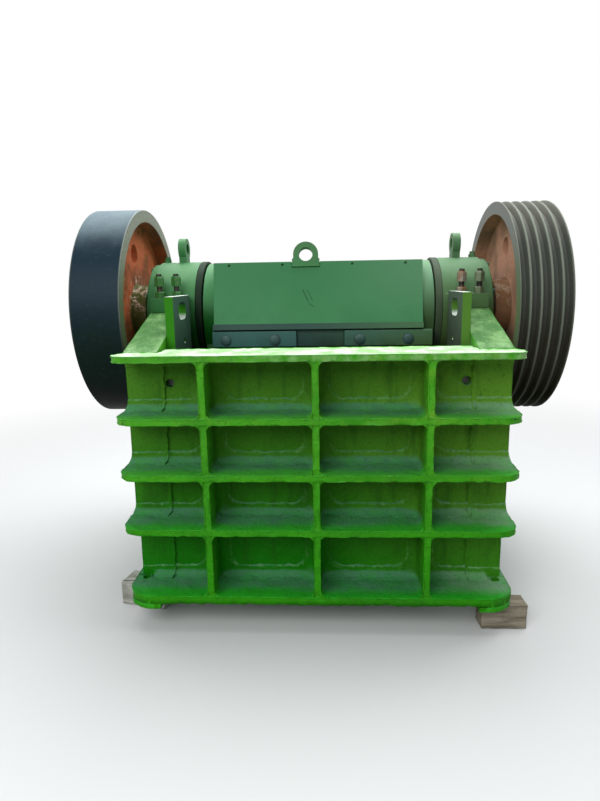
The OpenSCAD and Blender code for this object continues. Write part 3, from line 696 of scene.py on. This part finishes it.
def coveRing(bm, highlitRidge, look, cell, openEnd, side, hole):
    # sections are (inset from the ribs, reach in front of the panel, level, free to be lumpy, ridge
    # highlight)
    sections = [(-look["sink"], look["reach"] + 0.014, 0, 0, 0)]
    for k in range(look["arc"] + 1):
        a = k * quarter / look["arc"]
        sections.append((look["rise"] * (1 - math.cos(a)) - 0.002, look["reach"] * (1 - math.sin(a)),
                         k / look["arc"], 1, 0))
    sections[-1] = (look["rise"] - 0.003, look["highlitRidge"], 1, 1.3, 0.5)
    sections += [(look["rise"] + 0.001, look["highlitRidge"] - 0.001, 1, 1.3, 1),
                 (look["rise"] + 0.006, -0.003, 1, 1.3, 0), (look["rise"] + 0.013, -0.010, 1, 0, 0),
                 (-look["sink"], -0.010, 0, 0, 0)]
    loops = []
    for inset, reach, level, free, shine in sections:
        grow = min(max(inset / look["rise"], 0), 1)
        radius = look["cornerOut"] + (look["cornerIn"] - look["cornerOut"]) * grow - min(inset, 0)
        loop = []
        for x, z in outline(cell, inset, radius, look, openEnd):
            flare = eased(x, cell[1] - 0.07, cell[1]) if openEnd else 0
            hold = 1 - eased(x, look["holeFrom"], look["holeTo"]) if hole else 1
            y = look["panelY"]
            y += (look["postY"] - y) * eased(x, look["postFrom"], layout["wallX"])
            y -= reach * hold if reach > 0 else reach
            field = Vector((x * side, y, z)) / look["wave"]
            y -= fieldNoise.noise(field) * look["lump"] * free * hold
            z += fieldNoise.noise(field + Vector((7, 3, 5))) * look["lump"] * free
            x += flare * look["flare"] * (1 - level) * hold
            vert = bm.verts.new((x * side, y, z))
            # the painted highlight on the ridge shows along the bottom, weakly at the sides, and not at the
            # top
            low = eased(z, cell[3] - 0.06, cell[2] + look["rise"] + 0.012)
            vert[highlitRidge] = shine * (0.25 * eased(z, cell[3] - 0.03, cell[3] - 0.09) + 0.75 * low)
            loop.append(vert)
        loops.append(loop)
    total = len(loops[0])
    for a, b in zip(loops, loops[1:] + loops[:1]):
        for i in range(total - 1 if openEnd else total):
            j = (i + 1) % total
            bm.faces.new((a[i], a[j], b[j], b[i]))
    if openEnd:
        bm.faces.new([loop[0] for loop in loops])
        bm.faces.new([loop[-1] for loop in loops])


beadShape = {"sides": 8, "wave": 0.013, "endSize": 0.4}


def lumpyBead(bm, points, radius, lump, flat=1.0):
    # a weld or casting seam: a thin round bead that swells and shrinks along its way
    rings, sides = [], beadShape["sides"]
    for i, spot in enumerate(points):
        ahead = (points[min(i + 1, len(points) - 1)] - points[max(i - 1, 0)]).normalized()
        aside = ahead.cross(Vector((0.3, 1, 0.1))).normalized()
        over = aside.cross(ahead)
        over *= flat
        wide = radius * (1 + lump * fieldNoise.noise(spot / beadShape["wave"]))
        if i in (0, len(points) - 1):
            wide *= beadShape["endSize"]
        turns = [2 * math.pi * k / sides for k in range(sides)]
        rings.append([bm.verts.new(spot + (aside * math.cos(a) + over * math.sin(a)) * wide) for a in turns])
    for a, b in zip(rings, rings[1:]):
        for k in range(sides):
            bm.faces.new((a[k], a[(k + 1) % sides], b[(k + 1) % sides], b[k]))
    bm.faces.new(rings[0])
    bm.faces.new(rings[-1])


def finishShell(bm, name, mat, body):
    bmesh.ops.recalc_face_normals(bm, faces=bm.faces)
    mesh = bpy.data.meshes.new(name)
    bm.to_mesh(mesh)
    bm.free()
    piece = addPiece(name, shaded(mesh, 60, False), mat, body)
    print(name, "made:", len(mesh.polygons), "faces")
    return piece


def ribCoves(look):
    bm = bmesh.new()
    highlitRidge = bm.verts.layers.float.new("highlitRidge")
    for row, (z0, z1) in enumerate(look["rows"]):
        bay = look["bay"] if row else look["lowBay"]
        for side in (-1, 1):
            coveRing(bm, highlitRidge, look, (*look["cell"], z0, z1), False, side, False)
            coveRing(bm, highlitRidge, look, (*bay, z0, z1), True, side, row == 0)
    return finishShell(bm, "rib_coves", finish["frame"], "frame")


def wallSeams(look):
    # the seams between the front wall and the side walls, down each bay and out over the cove
    bm = bmesh.new()
    for z0, z1 in look["rows"]:
        for side in (-1, 1):
            path, low = [], z0 + look["rise"]
            steps = int((z1 - low) / look["beadStep"])
            for i in range(steps + 1):
                path.append((look["postY"], z1 - 0.004 - (z1 - 0.004 - low) * i / steps))
            for k in range(1, look["arc"] + 1):
                a = quarter - k * quarter / look["arc"]
                path.append((look["postY"] - look["reach"] * (1 - math.sin(a)),
                             z0 + look["rise"] * (1 - math.cos(a))))
            points = []
            for y, z in path:
                sway = fieldNoise.noise(Vector((side * 5, 0, z / 0.03))) * 0.003
                points.append(Vector((side * (layout["wallX"] + sway), y, z)))
            lumpyBead(bm, points, look["beadRadius"], look["beadLump"], look["beadFlat"])
    return finishShell(bm, "wall_seams", finish["frame"], "frame")


ribCoves(coveLook)
wallSeams(coveLook)

eyeLook = {"from": -0.105, "to": 0.011, "out": 0.2295, "up": 0.151, "radius": 0.0038, "lump": 0.5,
           "steps": 30}


def eyeWeld(look):
    # the bead along the foot of the lifting eye, on the guard
    bm = bmesh.new()
    lean = layout["guardLean"]
    y = layout["shaftY"] - look["out"] * math.cos(lean) + look["up"] * math.sin(lean)
    z = layout["barrelZ"] + look["out"] * math.sin(lean) + look["up"] * math.cos(lean)
    points = [Vector((look["from"] + (look["to"] - look["from"]) * i / look["steps"], y, z))
              for i in range(look["steps"] + 1)]
    lumpyBead(bm, points, look["radius"], look["lump"])
    return finishShell(bm, "eye_weld", finish["eye"], bodyOf("jaw_lifting_eye"))


eyeWeld(eyeLook)


# Fasteners and the spring, made with Geometry Nodes

def newTree(name, inputs):
    tree = bpy.data.node_groups.new(name, "GeometryNodeTree")
    tree.interface.new_socket(name="Geometry", in_out="INPUT", socket_type="NodeSocketGeometry")
    for label, value in inputs.items():
        kind = {int: "NodeSocketInt", float: "NodeSocketFloat"}.get(type(value), "NodeSocketMaterial")
        socket = tree.interface.new_socket(name=label, in_out="INPUT", socket_type=kind)
        if kind != "NodeSocketMaterial":
            socket.default_value = value
    tree.interface.new_socket(name="Geometry", in_out="OUTPUT", socket_type="NodeSocketGeometry")
    start = tree.nodes.new("NodeGroupInput")
    end = tree.nodes.new("NodeGroupOutput")
    return tree, start.outputs, end.inputs["Geometry"]


def geo(tree, kind, settings=None, **inputs):
    node = tree.nodes.new("GeometryNode" + kind)
    for key, value in (settings or {}).items():
        setattr(node, key, value)
    for key, value in inputs.items():
        put(tree, value, node.inputs[key.replace("_", " ")])
    return node


def raised(tree, geometry, lift):
    # lift is a socket or a number, along the piece's own Z
    shift = tree.nodes.new("ShaderNodeCombineXYZ")
    put(tree, lift, shift.inputs["Z"])
    return geo(tree, "Transform", Geometry=geometry, Translation=shift.outputs[0]).outputs[0]


def joined(tree, *parts):
    whole = geo(tree, "JoinGeometry")
    for part in parts:
        tree.links.new(part, whole.inputs[0])
    return whole.outputs[0]


def finishTree(tree, start, shape, end):
    # one shape on every point of the carrier mesh, turned by its "aim" attribute
    aim = geo(tree, "InputNamedAttribute", {"data_type": "FLOAT_VECTOR"}, Name="aim")
    spread = geo(tree, "InstanceOnPoints", Points=start["Geometry"], Instance=shape,
                 Rotation=aim.outputs["Attribute"])
    real = geo(tree, "RealizeInstances", Geometry=spread.outputs[0])
    painted = geo(tree, "SetMaterial", Geometry=real.outputs[0], Material=start["Paint"])
    tree.links.new(painted.outputs[0], end)
    return tree


def headTree():
    # a washer under a head or nut with a chamfered top
    tree, start, end = newTree("boltHeads", {"Head Radius": 0.012, "Head Height": 0.008, "Sides": 6,
                                             "Washer Radius": 0.014, "Washer Height": 0.002, "Paint": None})
    lift = start["Washer Height"]
    washer = geo(tree, "MeshCylinder", Vertices=24, Radius=start["Washer Radius"], Depth=lift)
    body = maths(tree, "MULTIPLY", start["Head Height"], 0.8)
    head = geo(tree, "MeshCylinder", Vertices=start["Sides"], Radius=start["Head Radius"], Depth=body)
    top = geo(tree, "MeshCone", Vertices=start["Sides"], Radius_Bottom=start["Head Radius"],
              Radius_Top=maths(tree, "MULTIPLY", start["Head Radius"], 0.82),
              Depth=maths(tree, "MULTIPLY", start["Head Height"], 0.2))
    parts = joined(tree, raised(tree, washer.outputs["Mesh"], maths(tree, "MULTIPLY", lift, 0.5)),
                   raised(tree, head.outputs["Mesh"], plus(tree, lift, maths(tree, "MULTIPLY", body, 0.5))),
                   raised(tree, top.outputs["Mesh"], plus(tree, lift, body)))
    return finishTree(tree, start, parts, end)


def wound(tree, turns, steps, radius, height, sides, thickness):
    # a wire along a helix
    helix = geo(tree, "CurveSpiral", Resolution=steps, Rotations=turns, Start_Radius=radius,
                End_Radius=radius, Height=height)
    wire = geo(tree, "CurvePrimitiveCircle", Resolution=sides, Radius=thickness)
    coil = geo(tree, "CurveToMesh", Curve=helix.outputs[0], Profile_Curve=wire.outputs[0], Fill_Caps=True)
    return coil.outputs[0]


def threadTree():
    # a stud: plain core with a helical thread wound round it
    tree, start, end = newTree("threadedStuds", {"Core Radius": 0.0108, "Thread Radius": 0.0012,
                                                 "Length": 0.1, "Turns": 30.0, "Paint": None})
    core = geo(tree, "MeshCylinder", Vertices=20, Radius=start["Core Radius"], Depth=start["Length"])
    thread = wound(tree, start["Turns"], 20, start["Core Radius"],
                   maths(tree, "MULTIPLY", start["Length"], 0.97), 4, start["Thread Radius"])
    middle = maths(tree, "MULTIPLY", start["Length"], 0.5)
    parts = joined(tree, raised(tree, core.outputs["Mesh"], middle), thread)
    return finishTree(tree, start, parts, end)


def coilTree():
    tree, start, end = newTree("coilSpring", {"Coil Radius": 0.042, "Wire Radius": 0.0058, "Turns": 8.5,
                                              "Length": 0.2, "Paint": None})
    coil = wound(tree, start["Turns"], 28, start["Coil Radius"], start["Length"], 10, start["Wire Radius"])
    return finishTree(tree, start, coil, end)


def grown(name, tree, spots, values, mat, body):
    # spots are (place, aim in Euler angles); the tree runs once and its result is kept as plain mesh
    mesh = bpy.data.meshes.new(name + "Spots")
    mesh.from_pydata([spot for spot, aim in spots], [], [])
    turn = mesh.attributes.new("aim", "FLOAT_VECTOR", "POINT")
    for item, (spot, aim) in zip(turn.data, spots):
        item.vector = aim
    work = bpy.data.objects.new("work", mesh)
    scene.collection.objects.link(work)
    modifier = work.modifiers.new("grow", "NODES")
    modifier.node_group = tree
    given = dict(values, Paint=mat)
    for item in tree.interface.items_tree:
        if item.in_out == "INPUT" and item.name in given:
            modifier[item.identifier] = given[item.name]
    done = shaded(evaluated(work), 40, False)
    piece = addPiece(name, done, mat, body)
    print(name, "grown:", len(done.polygons), "faces")
    return piece


boltHeads, threadedStuds, coilSpring = headTree(), threadTree(), coilTree()
studLook = {
    "x": (0.575, 0.645), "y": (-0.253, 0.203), "flange": 1.192, "top": 1.289, "sunk": 0.06,
    "core": 0.0106, "thread": 0.0012, "turns": 52.0, "turn": (0, 0, math.radians(30)), "upperNuts": 0.047,
    "lower": {"Head Radius": 0.020, "Head Height": 0.024, "Washer Radius": 0.021, "Washer Height": 0.003},
    "upper": {"Head Radius": 0.020, "Head Height": 0.040, "Washer Radius": 0.019, "Washer Height": 0.001},
}


def studSpots(z, turn):
    return [((side * x, y, z), turn) for side in (-1, 1) for x in studLook["x"] for y in studLook["y"]]


studs = grown("cap_studs_dressed", threadedStuds, studSpots(studLook["flange"] - studLook["sunk"], (0, 0, 0)),
              {"Core Radius": studLook["core"], "Thread Radius": studLook["thread"],
               "Length": studLook["top"] - studLook["flange"] + studLook["sunk"], "Turns": studLook["turns"]},
              finish["stud"], "frame")
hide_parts("left_cap_studs", "right_cap_studs")
for level, lift in (("lower", 0), ("upper", studLook["upperNuts"])):
    grown(level + "_cap_nuts", boltHeads, studSpots(studLook["flange"] + lift, studLook["turn"]),
          studLook[level], finish["nut"], "frame")
wedgeBoltLook = {
    "x": (-0.378, -0.1755, 0.170, 0.366), "y": -0.268, "z": 1.017,
    "head": {"Head Radius": 0.0195, "Head Height": 0.009, "Sides": 24, "Washer Radius": 0.023,
             "Washer Height": 0.002},
}
grown("wedge_bolts", boltHeads,
      [((x, wedgeBoltLook["y"], wedgeBoltLook["z"]), (quarter, 0, 0)) for x in wedgeBoltLook["x"]],
      wedgeBoltLook["head"], finish["bolt"], "jaw")
coverLook = {
    "x": 0.710, "circle": 0.1955, "count": 8,
    "head": {"Head Radius": 0.0085, "Head Height": 0.007, "Washer Radius": 0.0092, "Washer Height": 0.001},
}
coverSpots = []
for side in (-1, 1):
    for i in range(coverLook["count"]):
        a = (i + 0.5) * 2 * math.pi / coverLook["count"]
        coverSpots.append(((side * coverLook["x"], layout["shaftY"] + coverLook["circle"] * math.cos(a),
                            layout["shaftZ"] + coverLook["circle"] * math.sin(a)), (0, side * quarter, 0)))
grown("cover_bolts", boltHeads, coverSpots, coverLook["head"], finish["bolt"], "frame")
springLook = {"node": "tension_spring", "endRoom": 0.006}    # half a wire is left free at each end
springFrom, springTo = [corner[1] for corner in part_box(springLook["node"])]
spring = grown("tension_spring_coil", coilSpring,
               [((0, springFrom + springLook["endRoom"], layout["rodZ"]), (-quarter, 0, 0))],
               {"Length": springTo - springFrom - 2 * springLook["endRoom"]}, finish["rod"],
               bodyOf(springLook["node"]))
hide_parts("tension_spring")
print("fasteners and spring grown")

# Floor, light and camera
stageLook = {
    "floor": (214, 216, 216), "bounce": (150, 150, 148), "reach": 30, "fade": (1.7, 4.6),
    "sky": (0.94, 0.97, 1.0, 1), "skyStrength": 0.42,
}


def backdropRays(nt):
    # 1 for the rays that see the white backdrop: the camera's, and those that metal and gloss send out
    path = nt.nodes.new("ShaderNodeLightPath")
    return maths(nt, "MAXIMUM", path.outputs["Is Camera Ray"],
                 maths(nt, "MAXIMUM", path.outputs["Is Glossy Ray"], path.outputs["Is Transmission Ray"]))


def seenWhite(nt, share, kind, shader, output):
    # mixes plain white over a shader by the share, on its way to the output
    pale = nt.nodes.new(kind)
    pale.inputs["Color"].default_value = white
    pale.inputs["Strength"].default_value = 1.0
    mix = nt.nodes.new("ShaderNodeMixShader")
    for link, socket in zip((share, shader.outputs[0], pale.outputs[0]), mix.inputs):
        nt.links.new(link, socket)
    nt.links.new(mix.outputs[0], nt.nodes[output].inputs["Surface"])


def plainFloor():
    mesh = bpy.data.meshes.new("floor")
    reach = stageLook["reach"]
    corners = ((-1, -1), (1, -1), (1, 1), (-1, 1))
    mesh.from_pydata([(x * reach, y * reach, 0) for x, y in corners], [], [(0, 1, 2, 3)])
    floor = bpy.data.objects.new("floor", mesh)
    scene.collection.objects.link(floor)
    mat, nt, shader, place = startMaterial("floorPale")[:4]
    shader.inputs["Roughness"].default_value = 0.9
    shader.inputs["Specular IOR Level"].default_value = 0.2
    path = nt.nodes.new("ShaderNodeLightPath")
    ink = inksOf(stageLook)
    tint = blend(nt, path.outputs["Is Camera Ray"], ink("bounce"), ink("floor"))
    put(nt, tint, shader.inputs["Base Color"])
    far = nt.nodes.new("ShaderNodeVectorMath")               # the floor fades into the white backdrop
    far.operation = "LENGTH"
    nt.links.new(place, far.inputs[0])
    fade = ramp(nt, far.outputs["Value"], *stageLook["fade"])
    seenWhite(nt, times(nt, fade, backdropRays(nt)), "ShaderNodeEmission", shader, "Material Output")
    mesh.materials.append(mat)


def studioWorld():
    world = bpy.data.worlds.new("studio")
    scene.world = world
    world.use_nodes = True
    nt = world.node_tree
    back = nt.nodes["Background"]
    back.inputs["Color"].default_value = stageLook["sky"]
    back.inputs["Strength"].default_value = stageLook["skyStrength"]
    seenWhite(nt, backdropRays(nt), "ShaderNodeBackground", back, "World Output")


lampLooks = {
    "sky": {"place": (0.4, 1.0, 4.6), "target": (0, 0, 0.6), "size": (6, 4), "power": 300},
    "front": {"place": (-1.8, -5.0, 3.8), "target": (0, 0, 0.7), "size": (4, 3), "power": 190},
}


def softLamp(name, look):
    data = bpy.data.lights.new(name, "AREA")
    data.shape = "RECTANGLE"
    data.size, data.size_y = look["size"]
    data.energy = look["power"]
    lamp = bpy.data.objects.new(name, data)
    scene.collection.objects.link(lamp)
    lamp.location = look["place"]
    lamp.rotation_euler = (Vector(look["target"]) - Vector(look["place"])).to_track_quat("-Z", "Y").to_euler()


plainFloor()
studioWorld()
for name, look in lampLooks.items():
    softLamp(name, look)

cameraLook = {
    "place": (0.0503, -2.6784, 1.2542), "pitch": math.radians(11.515), "yaw": math.radians(-3.027),
    "roll": math.radians(-1.013), "focalPixels": 589.66, "imageHeight": 801, "sensorHeight": 24,
}


def placeCamera():
    p, y, r = cameraLook["pitch"], cameraLook["yaw"], cameraLook["roll"]
    right = Vector((math.cos(y), -math.sin(y), 0))
    ahead = Vector((math.sin(y) * math.cos(p), math.cos(y) * math.cos(p), -math.sin(p)))
    up = Vector((math.sin(y) * math.sin(p), math.cos(y) * math.sin(p), math.cos(p)))
    rolledRight = right * math.cos(r) + up * math.sin(r)
    rolledUp = up * math.cos(r) - right * math.sin(r)
    turn = Matrix((rolledRight, rolledUp, -ahead)).transposed()
    data = bpy.data.cameras.new("photoCamera")
    data.sensor_fit = "VERTICAL"
    data.sensor_height = cameraLook["sensorHeight"]
    data.lens = cameraLook["focalPixels"] * cameraLook["sensorHeight"] / cameraLook["imageHeight"]
    camera = bpy.data.objects.new("photoCamera", data)
    scene.collection.objects.link(camera)
    camera.matrix_world = Matrix.Translation(cameraLook["place"]) @ turn.to_4x4()
    scene.camera = camera


placeCamera()
scene.view_settings.view_transform = "Standard"
print("stage and camera set")
